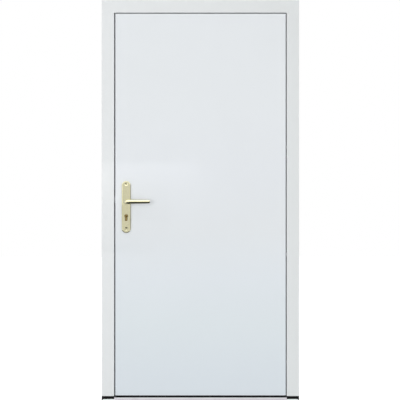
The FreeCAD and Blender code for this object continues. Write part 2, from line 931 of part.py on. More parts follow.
def hinge_frame_part(middle):
    """The fixed hinge part: a wing on the frame with a knuckle at each end."""
    low, high = middle - hinge_height / 2, middle + hinge_height / 2
    start = hinge_axis_x + hinge_wing_clear
    part = wing(low, high, start, start + hinge_wing_width, frame_depth)
    lower = knuckle(low, low + hinge_knuckle)
    foot = [e for e in lower.Edges if all(abs(v.Point.z - low) < 1e-6 for v in e.Vertexes)]
    pieces = [lower.makeChamfer(hinge_edge, foot), knuckle(high - hinge_knuckle, high)]
    for a, b in ((low, low + hinge_knuckle), (high - hinge_knuckle, high)):
        pieces.append(
            box((hinge_axis_x, frame_depth, a), (start + 1, frame_depth + hinge_wing + 2, b))
        )
    part = part.fuse(pieces).removeSplitter()
    return part.cut(pin_bore(low + hinge_floor, high + 1))


def hinge_leaf_part(middle):
    """The moving hinge part: a wing on the leaf with one knuckle between the other two."""
    low, high = middle - hinge_height / 2, middle + hinge_height / 2
    a = low + hinge_knuckle + hinge_play
    b = high - hinge_knuckle - hinge_play
    end = hinge_axis_x - hinge_wing_clear
    part = wing(low, high, end - hinge_wing_width, end, leaf_thickness)
    top = hinge_axis_y - barrel_radius + hinge_wing
    arm = box((end - 1, leaf_thickness, a), (hinge_axis_x, top, b))
    return part.fuse([knuckle(a, b), arm]).removeSplitter().cut(pin_bore(a - 1, b + 1))


def hinge_pin(middle):
    """The pin, dropped in from above, with its domed head on the top knuckle."""
    low = middle - hinge_height / 2 + hinge_floor
    high = middle + hinge_height / 2
    shaft = rod(hinge_pin_radius, (hinge_axis_x, hinge_axis_y, low), (0, 0, 1), high - low)
    head = rod(barrel_radius, (hinge_axis_x, hinge_axis_y, high), (0, 0, 1), hinge_pin_head)
    rim = [
        e for e in head.Edges
        if all(abs(v.Point.z - high - hinge_pin_head) < 1e-6 for v in e.Vertexes)
    ]
    return shaft.fuse(head.makeChamfer(hinge_edge, rim)).removeSplitter()


def security_pins():
    """The fixed pins on the hinge edge that stand in the jamb when the leaf is shut."""
    pins = []
    for z in security_heights:
        r, tip = security_pin_radius, security_pin_reach
        outline = [
            (0, -security_pin_root),
            (r, -security_pin_root),
            (r, 0),
            (security_pin_collar, 0),
            (security_pin_collar, security_pin_flange),
            (r, security_pin_flange),
            (r, tip - 3),
            (r - 2, tip),
            (0, tip),
        ]
        points = [Vector(leaf_right + x, security_pin_depth + y, z) for y, x in outline]
        axis = Vector(leaf_right, security_pin_depth, z)
        pins.append(face_of(points).revolve(axis, Vector(1, 0, 0), 360))
    return Part.makeCompound(pins)


def save(name, shape):
    """Moves a finished piece to the frame's middle and writes it."""
    shape = shape.copy()
    shape.translate(to_middle_of_frame)
    for solid in shape.Solids:
        if not solid.isValid():
            print("not valid:", name)
    print(f"{name}: {len(shape.Solids)} solid(s), {shape.Volume / 1000:.1f} cm3")
    shape.exportStep(f"parts/{name}.step")


def build_frame():
    save("jamb_latch_side", latch_jamb())
    save("jamb_hinge_side", hinge_jamb())
    save("frame_head", frame_head())
    save("threshold", threshold())
    save("strike_plate", strike_plate())
    for side, word in ((-1, "latch_side"), (1, "hinge_side")):
        save(f"jamb_shoe_{word}", jamb_shoe(side))
        save(f"packer_{word}", packer(side))
        save(f"frame_seal_{word}", along_jamb(seal_section, side))
    save("frame_seal_head", along_head(seal_section))


def build_leaf():
    save("leaf_outer_skin", outer_skin())
    save("leaf_inner_skin", inner_skin())
    save("leaf_core", leaf_core())
    save("leaf_bottom_seal", bottom_seal())
    save("security_pins", security_pins())


def build_lock():
    save("lock_forend", lock_forend())
    save("lock_case", lock_case())
    save("lock_cylinder", lock_cylinder())
    save("key_plug", key_plug())
    save("latch_bolt", latch_bolt())
    save("dead_bolt", dead_bolt())


def build_handles():
    save("handle_plate_outside", handle_plate())
    save("handle_plate_inside", inside_of(handle_plate()))
    save("plate_bolts", plate_bolts())
    save("lever_outside", lever())
    save("lever_inside", inside_of(lever()))
    save("lever_spindle", spindle())


def build_hinges():
    for middle, word in ((upper_hinge_middle, "upper"), (lower_hinge_middle, "lower")):
        save(f"hinge_frame_part_{word}", hinge_frame_part(middle))
        save(f"hinge_leaf_part_{word}", hinge_leaf_part(middle))
        save(f"hinge_pin_{word}", hinge_pin(middle))


build_frame()
build_leaf()
build_lock()
build_handles()
build_hinges()
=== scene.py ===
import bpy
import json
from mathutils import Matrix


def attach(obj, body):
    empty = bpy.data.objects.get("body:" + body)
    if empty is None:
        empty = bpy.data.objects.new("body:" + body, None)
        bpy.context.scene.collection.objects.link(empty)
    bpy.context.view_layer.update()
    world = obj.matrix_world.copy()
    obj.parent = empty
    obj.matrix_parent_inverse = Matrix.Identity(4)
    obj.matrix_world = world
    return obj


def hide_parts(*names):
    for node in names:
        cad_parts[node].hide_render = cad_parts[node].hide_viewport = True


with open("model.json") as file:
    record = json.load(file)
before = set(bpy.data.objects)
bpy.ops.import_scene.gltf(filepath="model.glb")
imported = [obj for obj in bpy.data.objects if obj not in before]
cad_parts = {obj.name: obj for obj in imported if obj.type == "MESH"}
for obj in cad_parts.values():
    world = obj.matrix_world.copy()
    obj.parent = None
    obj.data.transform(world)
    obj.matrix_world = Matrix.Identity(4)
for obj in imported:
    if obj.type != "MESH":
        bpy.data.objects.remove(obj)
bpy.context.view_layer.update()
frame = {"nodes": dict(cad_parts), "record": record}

import json
import math

import bmesh
import bpy
from mathutils import Vector

# A white steel utility door, seen straight from outside. Metres, +Z up, outer face towards -Y.

nodes = frame["nodes"]


def tone(r, g, b):  # a screen colour, 0 to 255, as the linear value that a shader takes
    out = []
    for level in (r, g, b):
        c = level / 255
        out.append(c / 12.92 if c <= 0.04045 else ((c + 0.055) / 1.055) ** 2.4)
    return (*out, 1.0)


def clearSelection():
    for obj in list(bpy.context.selected_objects):
        obj.select_set(False)


# helpers for shader nodes

def newFinish(name, colour, roughness, metallic=0.0):
    finish = bpy.data.materials.new(name)
    finish.use_nodes = True
    shader = finish.node_tree.nodes["Principled BSDF"]
    shader.inputs["Base Color"].default_value = colour
    shader.inputs["Roughness"].default_value = roughness
    shader.inputs["Metallic"].default_value = metallic
    return finish, finish.node_tree, shader


def objectPattern(tree, kind, scale, stretch=(1, 1, 1), **settings):
    coords = tree.nodes.new("ShaderNodeTexCoord")
    mapping = tree.nodes.new("ShaderNodeMapping")
    mapping.inputs["Scale"].default_value = stretch
    pattern = tree.nodes.new(kind)
    pattern.inputs["Scale"].default_value = scale
    for key, value in settings.items():
        pattern.inputs[key].default_value = value
    tree.links.new(coords.outputs["Object"], mapping.inputs["Vector"])
    tree.links.new(mapping.outputs["Vector"], pattern.inputs["Vector"])
    return pattern


def spread(tree, source, low, high, start=0.3, end=0.7):  # a value or colour along a pattern
    ramp = tree.nodes.new("ShaderNodeValToRGB")
    ramp.color_ramp.elements[0].position = start
    ramp.color_ramp.elements[1].position = end
    for element, value in zip(ramp.color_ramp.elements, (low, high)):
        element.color = value if isinstance(value, tuple) else (value, value, value, 1)
    tree.links.new(source, ramp.inputs["Fac"])
    return ramp.outputs["Color"]


def paintedLightAlong(tree, colour, axis, stops):  # painted light and shade: multiplies the colour down along one axis; stops: place, then the share left of each colour
    coords = tree.nodes.new("ShaderNodeTexCoord")
    parts = tree.nodes.new("ShaderNodeSeparateXYZ")
    place = tree.nodes.new("ShaderNodeMapRange")
    ramp = tree.nodes.new("ShaderNodeValToRGB")
    blend = tree.nodes.new("ShaderNodeVectorMath")
    low, high = stops[0][0], stops[-1][0]
    place.inputs["From Min"].default_value = low
    place.inputs["From Max"].default_value = high
    for spot, _ in stops[1:-1]:
        ramp.color_ramp.elements.new((spot - low) / (high - low))
    for element, (_, share) in zip(ramp.color_ramp.elements, stops):
        element.color = (*share, 1)
    blend.operation = "MULTIPLY"
    tree.links.new(coords.outputs["Object"], parts.inputs["Vector"])
    tree.links.new(parts.outputs[axis], place.inputs["Value"])
    tree.links.new(place.outputs["Result"], ramp.inputs["Fac"])
    tree.links.new(colour, blend.inputs[0])
    tree.links.new(ramp.outputs["Color"], blend.inputs[1])
    return blend.outputs["Vector"]


def reliefOf(tree, layers):  # bump nodes one after another: (height, strength, distance)
    normal = None
    for height, strength, distance in layers:
        bump = tree.nodes.new("ShaderNodeBump")
        bump.inputs["Strength"].default_value = strength
        bump.inputs["Distance"].default_value = distance
        tree.links.new(height, bump.inputs["Height"])
        if normal:
            tree.links.new(normal, bump.inputs["Normal"])
        normal = bump.outputs["Normal"]
    return normal


def uneven(tree, source, roughness, kind):  # roughness that follows a pattern
    return spread(tree, source, roughness - kind["smoother"], roughness + kind["rougher"])


def wireUp(tree, shader, colour, roughness, layers, fade=()):
    # painted light and shade along an axis, where one is given
    if fade:
        colour = paintedLightAlong(tree, colour, *fade)
    tree.links.new(colour, shader.inputs["Base Color"])
    tree.links.new(roughness, shader.inputs["Roughness"])
    tree.links.new(reliefOf(tree, layers), shader.inputs["Normal"])


# finishes: powder-coated sheet, drawn or cast metal, moulded plastic and rubber

powderCoat = {"cloudScale": 1.7, "speckScale": 55, "waveScale": 2.6, "waveStrength": 0.25,
              "waveDepth": 0.0012, "peelScale": 620, "peelStrength": 0.3, "peelDepth": 0.00006,
              "smoother": 0.04, "rougher": 0.05}
drawnMetal = {"cloudScale": 24, "grainStrength": 0.25, "grainDepth": 0.00004,
              "smoother": 0.05, "rougher": 0.07}
moulded = {"cloudScale": 30, "grainStrength": 0.35, "smoother": 0.06, "rougher": 0.08}

leafPaintedShade = ("Z", (  # painted shade: the leaf turns darker and a little blue towards its foot, as the light falls off there
    (0.12, (0.910, 0.945, 0.972)), (0.38, (0.930, 0.966, 0.976)), (0.62, (0.955, 0.975, 0.993)),
    (0.85, (0.975, 0.978, 0.980)), (1.15, (0.983, 0.983, 0.993)), (1.50, (1.0, 1.0, 1.0)),
))
# painted shade: the frame darkens towards its right side, away from the key lamp
framePaintedShade = ("X", ((-0.46, (1.0, 1.0, 1.0)), (0.46, (0.945, 0.950, 0.945))))
thresholdPaintedLight = ("Z", (  # painted highlight on its chamfer; the front face below it and the top above it are painted darker
    (0.0060, (0.68, 0.68, 0.68)), (0.0072, (1.0, 1.0, 1.0)), (0.0096, (1.0, 1.0, 1.0)),
    (0.0110, (0.56, 0.56, 0.56)),
))


def paintFinish(name, colour, shade, roughness, fade=()):
    finish, tree, shader = newFinish(name, colour, roughness)
    coat = powderCoat
    cloud = objectPattern(tree, "ShaderNodeTexNoise", coat["cloudScale"], Detail=3.0)
    speck = objectPattern(tree, "ShaderNodeTexNoise", coat["speckScale"], Detail=4.0)
    peel = objectPattern(tree, "ShaderNodeTexNoise", coat["peelScale"], Detail=1.0)
    wave = objectPattern(tree, "ShaderNodeTexNoise", coat["waveScale"], Detail=0.0)
    wireUp(
        tree, shader,
        spread(tree, cloud.outputs["Fac"], shade, colour),
        uneven(tree, speck.outputs["Fac"], roughness, coat),
        [(wave.outputs["Fac"], coat["waveStrength"], coat["waveDepth"]),
         (peel.outputs["Fac"], coat["peelStrength"], coat["peelDepth"])],
        fade,
    )
    return finish


def metalFinish(name, colour, shade, roughness, grain, grainScale, metallic=1.0, fade=()):
    finish, tree, shader = newFinish(name, colour, roughness, metallic)
    streak = objectPattern(tree, "ShaderNodeTexNoise", grainScale, grain, Detail=3.0)
    cloud = objectPattern(tree, "ShaderNodeTexNoise", drawnMetal["cloudScale"], Detail=3.0)
    wireUp(
        tree, shader,
        spread(tree, cloud.outputs["Fac"], shade, colour),
        uneven(tree, streak.outputs["Fac"], roughness, drawnMetal),
        [(streak.outputs["Fac"], drawnMetal["grainStrength"], drawnMetal["grainDepth"])],
        fade,
    )
    return finish


def softFinish(name, colour, shade, roughness, grainScale, grainDepth, gloss=0.5):
    finish, tree, shader = newFinish(name, colour, roughness)
    shader.inputs["Specular IOR Level"].default_value = gloss
    grain = objectPattern(tree, "ShaderNodeTexVoronoi", grainScale)
    cloud = objectPattern(tree, "ShaderNodeTexNoise", moulded["cloudScale"], Detail=4.0)
    wireUp(
        tree, shader,
        spread(tree, cloud.outputs["Fac"], shade, colour),
        uneven(tree, cloud.outputs["Fac"], roughness, moulded),
        [(grain.outputs["Distance"], moulded["grainStrength"], grainDepth)],
    )
    return finish


finishes = {
    "frame_white": paintFinish(
        "frameWhite", tone(230, 233, 234), tone(228, 231, 232), roughness=0.34, fade=framePaintedShade
    ),
    "leaf_white": paintFinish(
        "leafWhite", tone(230, 234, 237), tone(228, 232, 235), roughness=0.36, fade=leafPaintedShade
    ),
    "hinge_white": paintFinish(
        "hingeWhite", tone(230, 233, 235), tone(226, 229, 232), roughness=0.32
    ),
    # painted highlight: the base colour is set bright for the chamfer, and is painted darker on
    # the faces below and above it
    "threshold_grey": metalFinish(
        "thresholdGrey", tone(248, 248, 252), tone(240, 240, 244), roughness=0.55,
        grain=(0.03, 1, 1), grainScale=700, metallic=0.0, fade=thresholdPaintedLight,
    ),
    "bright_steel": metalFinish(
        "brightSteel", tone(198, 199, 202), tone(180, 182, 187), roughness=0.34,
        grain=(1, 1, 0.05), grainScale=500,
    ),
    "handle_gold": metalFinish(
        "handleGold", tone(208, 204, 172), tone(200, 196, 163), roughness=0.10,
        grain=(1, 1, 0.06), grainScale=420,
    ),
    "cylinder_brass": metalFinish(
        "cylinderBrass", tone(154, 135, 90), tone(130, 111, 68), roughness=0.22,
        grain=(1, 1, 1), grainScale=300,
    ),
    "black_plastic": softFinish(
        "blackPlastic", tone(6, 6, 7), tone(3, 3, 4), roughness=0.6,
        grainScale=900, grainDepth=0.00005, gloss=0.12,
    ),
    "packer_plastic": softFinish(
        "packerPlastic", tone(248, 251, 250), tone(240, 244, 242), roughness=0.48,
        grainScale=700, grainDepth=0.00004,
    ),
    "black_rubber": softFinish(
        "blackRubber", tone(12, 12, 13), tone(7, 7, 8), roughness=0.68,
        grainScale=800, grainDepth=0.00006, gloss=0.15,
    ),
    "core_filling": softFinish(
        "coreFilling", tone(214, 196, 158), tone(196, 176, 138), roughness=0.85,
        grainScale=180, grainDepth=0.0006,
    ),
}
for entry in frame["record"]["subparts"]:
    for holder in nodes[entry["node"]].material_slots:
        holder.material = finishes[entry["material_slot"]]
print("finishes: set on", len(nodes), "nodes")


# helpers for making pieces

quarter = math.pi / 2
toFace = {-1: (quarter, 0, 0), 1: (-quarter, 0, 0)}  # turns a shape's top to -Y or to +Y
sideName = {-1: "outside", 1: "inside"}
lock = {"x": -0.3715, "spindle": 0.995, "cylinder": 0.923, "middle": -0.001}
over = 0.001  # how far a cutter stands out of the face that it opens
closeEnough = 1e-5  # a corner this near a plane is on it
facing = 0.9999  # a normal's share from which a face counts as square to an axis
depthAxis, heightAxis = 1, 2


def onSide(side, y):  # a depth on the outer side, turned over for the inner one
    return y if side < 0 else 2 * lock["middle"] - y


def pick(kind, test):  # in edit mode: only the faces or edges that pass the test
    bpy.ops.mesh.select_mode(type={"faces": "FACE", "edges": "EDGE"}[kind])
    bpy.ops.mesh.select_all(action="DESELECT")
    mesh = bmesh.from_edit_mesh(bpy.context.edit_object.data)
    for item in getattr(mesh, kind):
        item.select_set(test(item))
    bmesh.update_edit_mesh(bpy.context.edit_object.data)


def liesAt(item, axis, level):  # every corner of an edge or a face is on one plane
    return all(abs(v.co[axis] - level) < closeEnough for v in item.verts)


def goesInwards(edge):  # it runs from the front to the back
    return abs(edge.verts[0].co.y - edge.verts[1].co.y) > closeEnough


def addSolid(kind, place, turn=(0, 0, 0), **size):
    clearSelection()
    getattr(bpy.ops.mesh, f"primitive_{kind}_add")(location=place, rotation=turn, **size)
    bpy.ops.object.transform_apply(location=True, rotation=True, scale=True)
    return bpy.context.object


def addBlock(low, high):  # a box between two corners
    centre = [(a + b) / 2 for a, b in zip(low, high)]
    return addSolid("cube", centre, size=1, scale=[abs(b - a) for a, b in zip(low, high)])


def only(obj):
    clearSelection()
    obj.select_set(True)
    bpy.context.view_layer.objects.active = obj


def carve(obj, cutters):
    only(obj)
    for cutter in cutters:
        cut = obj.modifiers.new("cut", "BOOLEAN")
        cut.operation = "DIFFERENCE"
        cut.solver = "MANIFOLD"
        cut.object = cutter
        bpy.ops.object.modifier_apply(modifier=cut.name)
        bpy.data.objects.remove(cutter)


def joinUp(pieces):
    only(pieces[0])
    for piece in pieces:
        piece.select_set(True)
    bpy.ops.object.join()
    return pieces[0]


def copyTo(obj, place, turn):  # a copy with its own mesh, and its place in the mesh
    twin = obj.copy()
    twin.data = obj.data.copy()
    bpy.context.scene.collection.objects.link(twin)
    twin.rotation_euler = turn
    twin.location = place
    only(twin)
    bpy.ops.object.transform_apply(location=True, rotation=True, scale=True)
    return twin


def finishPiece(obj, name, body, slot, replaced=(), angle=35):
    only(obj)
    obj.name = name
    bpy.ops.object.shade_smooth_by_angle(angle=math.radians(angle))
    even = obj.modifiers.new("even", "WEIGHTED_NORMAL")  # flat faces stay flat beside soft rims
    even.keep_sharp = True
    bpy.ops.object.modifier_apply(modifier=even.name)
    obj.data.materials.clear()
    obj.data.materials.append(finishes[slot])
    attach(obj, body)
    if replaced:
        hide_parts(*replaced)


# handle plates: half-round ends, a rounded rim, sunk screw seats and the cylinder's opening

plate = {
    "width": 0.045, "length": 0.260, "centre": 0.968, "back": -0.024, "front": -0.033,
    "corner": 0.02245, "rim": 0.0033, "screws": (1.083, 0.859), "boltHole": 0.003,
    "seatRadius": 0.0065, "seatDepth": 0.0035, "seatRim": 0.0022,
    "neckHole": 0.0121, "neckCut": 0.009, "neckRim": 0.0005,
    "keyRound": 0.0092, "keyTail": 0.0064, "tailEnd": 0.9028, "keyRim": 0.0004,
    "throughCut": 0.03, "splits": (0.870, 0.885, 0.945, 0.970, 1.020, 1.045, 1.072),
    # how far round its middle an opening's edges are looked for
    "keyReach": 0.0205, "slack": 0.0005, "openingsWithin": 0.0125,
}


def screwSeat(side, z):  # a 45 degree countersink
    y = onSide(side, plate["front"]) + side * (over - plate["seatDepth"]) / 2
    return addSolid(
        "cone", (lock["x"], y, z), toFace[side], vertices=48, radius1=plate["boltHole"],
        radius2=plate["seatRadius"] + over, depth=over + plate["seatDepth"],
    )


def softenRim(front, z, reach, offset, segments):  # bevels the edges of one opening in the face
    def near(v):
        across = abs(v.co.x - lock["x"])
        away = math.hypot(across, v.co.z - z)
        return (abs(v.co.y - front) < closeEnough and away < reach + plate["slack"]
                and across < plate["openingsWithin"])

    pick("edges", lambda e: near(e.verts[0]) and near(e.verts[1]))
    bpy.ops.mesh.bevel(offset=offset, segments=segments, affect="EDGES", loop_slide=False)


def makePlate(side):
    x, back, front = lock["x"], onSide(side, plate["back"]), onSide(side, plate["front"])
    half, end = plate["width"] / 2, plate["length"] / 2
    blank = addBlock((x - half, back, plate["centre"] - end),
                     (x + half, front, plate["centre"] + end))
    bpy.ops.object.mode_set(mode="EDIT")
    pick("edges", goesInwards)
    bpy.ops.mesh.bevel(offset=plate["corner"], segments=20, affect="EDGES")
    pick("edges", lambda e: liesAt(e, depthAxis, front))
    bpy.ops.mesh.bevel(offset=plate["rim"], segments=5, affect="EDGES")
    cuts = [((0, 0, z), (0, 0, 1)) for z in plate["splits"]] + [((x, 0, 0), (1, 0, 0))]
    for place, normal in cuts:  # so that no flat face goes all round an opening
        bpy.ops.mesh.select_all(action="SELECT")
        bpy.ops.mesh.bisect(plane_co=place, plane_no=normal)
    bpy.ops.object.mode_set(mode="OBJECT")

    def bore(z, radius, vertices, deep=plate["throughCut"]):
        return addSolid("cylinder", (x, front, z), toFace[side], vertices=vertices,
                        radius=radius, depth=deep)

    tail, cut = plate["keyTail"], plate["throughCut"] / 2
    cutters = [
        bore(lock["spindle"], plate["neckHole"], 48, plate["neckCut"]),
        bore(lock["cylinder"], plate["keyRound"], 40),
        bore(plate["tailEnd"], tail, 32),
        addBlock((x - tail, front - cut, plate["tailEnd"]),
                 (x + tail, front + cut, lock["cylinder"])),
    ]
    for z in plate["screws"]:
        cutters += [screwSeat(side, z), bore(z, plate["boltHole"], 48)]
    carve(blank, cutters)
    only(blank)
    bpy.ops.object.mode_set(mode="EDIT")
    for z in plate["screws"]:  # a soft rim round each seat, then round the two openings
        softenRim(front, z, plate["seatRadius"], plate["seatRim"], 5)
    softenRim(front, lock["spindle"], plate["neckHole"], plate["neckRim"], 2)
    keyMiddle = (lock["cylinder"] + plate["tailEnd"]) / 2
    softenRim(front, keyMiddle, plate["keyReach"], plate["keyRim"], 2)
    # sharp round the flat faces, so that their shading stays even
    pick("edges", lambda e: sum(abs(f.normal.y) > facing for f in e.link_faces) == 1)
    bpy.ops.mesh.mark_sharp()
    bpy.ops.object.mode_set(mode="OBJECT")
    word = sideName[side]
    finishPiece(blank, f"handlePlate.{word}", "leaf", "handle_gold", [f"handle_plate_{word}"])


for side in (-1, 1):
    makePlate(side)
print("handle plates made")


# levers: round neck, bend, and a grip that tapers, flattens and leans back to the leaf

lever = {
    "seat": -0.0282, "bendStart": -0.059, "radius": 0.0115, "sides": 32,
    "neckRings": (0.9, 0.1),  # shares of the neck, so that a ring stands close before the bend
    "bend": 0.017, "bendSteps": 12, "lean": math.radians(2.226), "reach": 0.1024,
    "gripSteps": 8, "endHeight": 0.0088, "endDepth": 0.0055,
    "nose": ((0.0008, 0.96), (0.0006, 0.93), (0.0004, 0.86)),  # length, then the share kept
}


def makeLever(side):
    x, z, lean = lock["x"], lock["spindle"], lever["lean"]
    seat, start = onSide(side, lever["seat"]), onSide(side, lever["bendStart"])
    form = addSolid("circle", (x, seat, z), toFace[side], vertices=lever["sides"],
                    radius=lever["radius"], fill_type="NGON")
    bpy.ops.object.mode_set(mode="EDIT")
    bpy.ops.mesh.select_mode(type="FACE")
    bpy.ops.mesh.select_all(action="SELECT")
    for share in lever["neckRings"]:
        move = (0, (start - seat) * share, 0)
        bpy.ops.mesh.extrude_region_move(TRANSFORM_OT_translate={"value": move})
    pivot = Vector((x + lever["bend"], start, z))
    bpy.ops.mesh.spin(steps=lever["bendSteps"], angle=side * (quarter + lean), center=pivot,
                      axis=(0, 0, 1))
    along = Vector((math.cos(lean), -side * math.sin(lean), 0))
    here = pivot + lever["bend"] * Vector((math.sin(lean), side * math.cos(lean), 0))
    height, depth = 1.0, 1.0
    run = lever["reach"] - sum(length for length, _ in lever["nose"])
    for i in range(1, lever["gripSteps"] + 1):
        share = i / lever["gripSteps"]
        step = along * run / lever["gripSteps"]
        here = here + step
        bpy.ops.mesh.extrude_region_move(TRANSFORM_OT_translate={"value": step})
        newHeight = 1 + (lever["endHeight"] / lever["radius"] - 1) * share
        newDepth = 1 + (lever["endDepth"] / lever["radius"] - 1) * share
        bpy.ops.transform.resize(value=(1, newDepth / depth, newHeight / height),
                                 center_override=here)
        height, depth = newHeight, newDepth
    for length, kept in lever["nose"]:
        here = here + along * length
        bpy.ops.mesh.extrude_region_move(TRANSFORM_OT_translate={"value": along * length})
        bpy.ops.transform.resize(value=(1, kept, kept), center_override=here)
    bpy.ops.mesh.select_all(action="SELECT")
    bpy.ops.mesh.remove_doubles(threshold=closeEnough)
    bpy.ops.mesh.normals_make_consistent(inside=False)
    bpy.ops.object.mode_set(mode="OBJECT")
    smoother = form.modifiers.new("smoother", "SUBSURF")
    smoother.levels = smoother.render_levels = 2
    bpy.ops.object.modifier_apply(modifier=smoother.name)
    word = sideName[side]
    finishPiece(form, f"lever.{word}", "lever", "handle_gold", [f"lever_{word}"], 40)


for side in (-1, 1):
    makeLever(side)
print("levers made")


# screws: a raised head with a cross recess, modelled once and copied

screw = {"radius": 0.004, "height": 0.0011, "foot": 0.0006, "round": 0.0007, "arm": 0.0044,
         "slit": 0.0009, "recess": 0.0009}


def makeHead():  # stands on z = 0 at the origin, with its foot sunk below
    top, foot = screw["height"], screw["foot"]
    head = addSolid("cylinder", (0, 0, (top - foot) / 2), vertices=28, radius=screw["radius"],
                    depth=top + foot)
    bpy.ops.object.mode_set(mode="EDIT")
    pick("edges", lambda e: liesAt(e, heightAxis, top))
    bpy.ops.mesh.bevel(offset=screw["round"], segments=3, affect="EDGES")
    bpy.ops.object.mode_set(mode="OBJECT")
    arm, slit, floor = screw["arm"] / 2, screw["slit"] / 2, top - screw["recess"]
    carve(head, [addBlock((-arm, -slit, floor), (arm, slit, top + over)),
                 addBlock((-slit, -arm, floor), (slit, arm, top + over))])
    return head


headMaster = makeHead()


def placeHeads(name, body, turn, places):
    heads = [copyTo(headMaster, place, turn) for place in places]
    finishPiece(joinUp(heads), name, body, "bright_steel")


# the two bolts that clamp the plates: a sunk head with a cross recess at each end

bolt = {"shank": 0.0025, "head": 0.0045, "sink": 0.0015, "edge": 0.00025, "arm": 0.0068,
        "slit": 0.0018, "slitDepth": 0.0018, "cone": 0.0029, "coneDepth": 0.0058,
        "coneOver": 0.0005}


def makeBolt(z):
    x, start, slope = lock["x"], plate["front"] + bolt["sink"], bolt["head"] - bolt["shank"]
    length = 2 * (lock["middle"] - start)
    ends = {-1: start, 1: start + length}
    shaft = addSolid("circle", (x, start, z), toFace[-1], vertices=40, radius=bolt["head"],
                     fill_type="NGON")
    bpy.ops.object.mode_set(mode="EDIT")
    bpy.ops.mesh.select_mode(type="FACE")
    bpy.ops.mesh.select_all(action="SELECT")
    y, radius = start, bolt["head"]
    for step, newRadius in ((slope, bolt["shank"]), (length - 2 * slope, bolt["shank"]),
                            (slope, bolt["head"])):
        bpy.ops.mesh.extrude_region_move(TRANSFORM_OT_translate={"value": (0, step, 0)})
        y += step
        scale = newRadius / radius
        bpy.ops.transform.resize(value=(scale, 1, scale), center_override=(x, y, z))
        radius = newRadius
    bpy.ops.mesh.select_all(action="SELECT")
    bpy.ops.mesh.normals_make_consistent(inside=False)
    pick("edges", lambda e: any(liesAt(e, depthAxis, end) for end in ends.values()))
    bpy.ops.mesh.bevel(offset=bolt["edge"], segments=2, affect="EDGES")
    bpy.ops.object.mode_set(mode="OBJECT")
    cutters = []
    arm, slit = bolt["arm"] / 2, bolt["slit"] / 2
    for side, end in ends.items():
        for wide, high in ((arm, slit), (slit, arm)):
            cutters.append(addBlock((x - wide, end + side * over, z - high),
                                    (x + wide, end - side * bolt["slitDepth"], z + high)))
        coneMiddle = end - side * (bolt["coneDepth"] - bolt["coneOver"]) / 2
        cutters.append(addSolid(
            "cone", (x, coneMiddle, z), toFace[side], vertices=24, radius1=0,
            radius2=bolt["cone"], depth=bolt["coneDepth"] + bolt["coneOver"],
        ))
    carve(shaft, cutters)
    return shaft


bolts = joinUp([makeBolt(z) for z in plate["screws"]])
finishPiece(bolts, "plateBolts", "leaf", "handle_gold", ["plate_bolts"])
print("plate bolts made")


# the cylinder's turning plug: a keyway open below, in a dished guide, and the cam within

plug = {"radius": 0.0065, "front": -0.0344, "edge": 0.0004, "slit": 0.0028, "rise": 0.0025,
        "slitDepth": 0.009, "slitTaper": 0.03, "dish": 0.0064, "dishDepth": 0.0034,
        "dishDrop": 0.0067, "dishTip": 0.0004, "sliver": 0.00002}
cam = {"width": 0.008, "thickness": 0.009, "reach": 0.013, "middle": -0.004, "round": 0.0015}


def makePlug():
    x, z, front = lock["x"], lock["cylinder"], plug["front"]
    core = addSolid("cylinder", (x, lock["middle"], z), toFace[-1], vertices=56,
                    radius=plug["radius"], depth=2 * (lock["middle"] - front))
    bpy.ops.object.mode_set(mode="EDIT")
    pick("edges", lambda e: not goesInwards(e))
    bpy.ops.mesh.bevel(offset=plug["edge"], segments=2, affect="EDGES")
    bpy.ops.object.mode_set(mode="OBJECT")
    cutters = []
    half, deep = plug["slit"] / 2, plug["dishDepth"] + over
    for side in (-1, 1):
        end = onSide(side, front)
        far = end - side * plug["slitDepth"]
        slot = addBlock((x - half, end + side * over, z - plug["radius"] - over),
                        (x + half, far, z + plug["rise"]))
        bpy.ops.object.mode_set(mode="EDIT")  # the slot narrows inwards, as the wards do
        pick("faces", lambda f: liesAt(f, depthAxis, far))
        bpy.ops.transform.resize(value=(plug["slitTaper"], 1, 1), center_override=(x, far, z))
        bpy.ops.object.mode_set(mode="OBJECT")
        cutters.append(slot)
        cutters.append(addSolid(
            "cone", (x, end - side * (deep / 2 - over), z - plug["dishDrop"]), toFace[side],
            vertices=40, radius1=plug["dishTip"],
            radius2=plug["dish"] * deep / plug["dishDepth"], depth=deep,
        ))
    carve(core, cutters)
    bpy.ops.object.mode_set(mode="EDIT")
    bpy.ops.mesh.select_all(action="SELECT")
    bpy.ops.mesh.dissolve_degenerate(threshold=plug["sliver"])
    bpy.ops.object.mode_set(mode="OBJECT")
    return core


def makeCam():
    x, y, z = lock["x"], cam["middle"], lock["cylinder"]
    half, thick, low = cam["width"] / 2, cam["thickness"] / 2, z - cam["reach"]
    bit = addBlock((x - half, y - thick, low), (x + half, y + thick, z))
    bpy.ops.object.mode_set(mode="EDIT")
    pick("edges", lambda e: liesAt(e, heightAxis, low) and goesInwards(e))
    bpy.ops.mesh.bevel(offset=cam["round"], segments=4, affect="EDGES")
    bpy.ops.object.mode_set(mode="OBJECT")
    return bit


finishPiece(joinUp([makePlug(), makeCam()]), "keyPlug", "key_plug", "cylinder_brass",
            ["key_plug"])
print("plug made")


# screws on hinges, forend, strike and threshold

hingeScrews = {"middles": (1.697, 0.262), "rises": (-0.036, 0, 0.036), "shift": 0.006,
               "wings": {"frame": (0.4765, 0.0270, 1), "leaf": (0.4215, 0.0250, -1)}}
edgeScrews = {"y": -0.004, "forend": (-0.4265, (0.849, 1.062)),
              "strike": (-0.4330, (0.903, 1.042))}
sillScrews = {"along": (-0.36, 0, 0.36), "y": 0.016, "z": 0.0125}

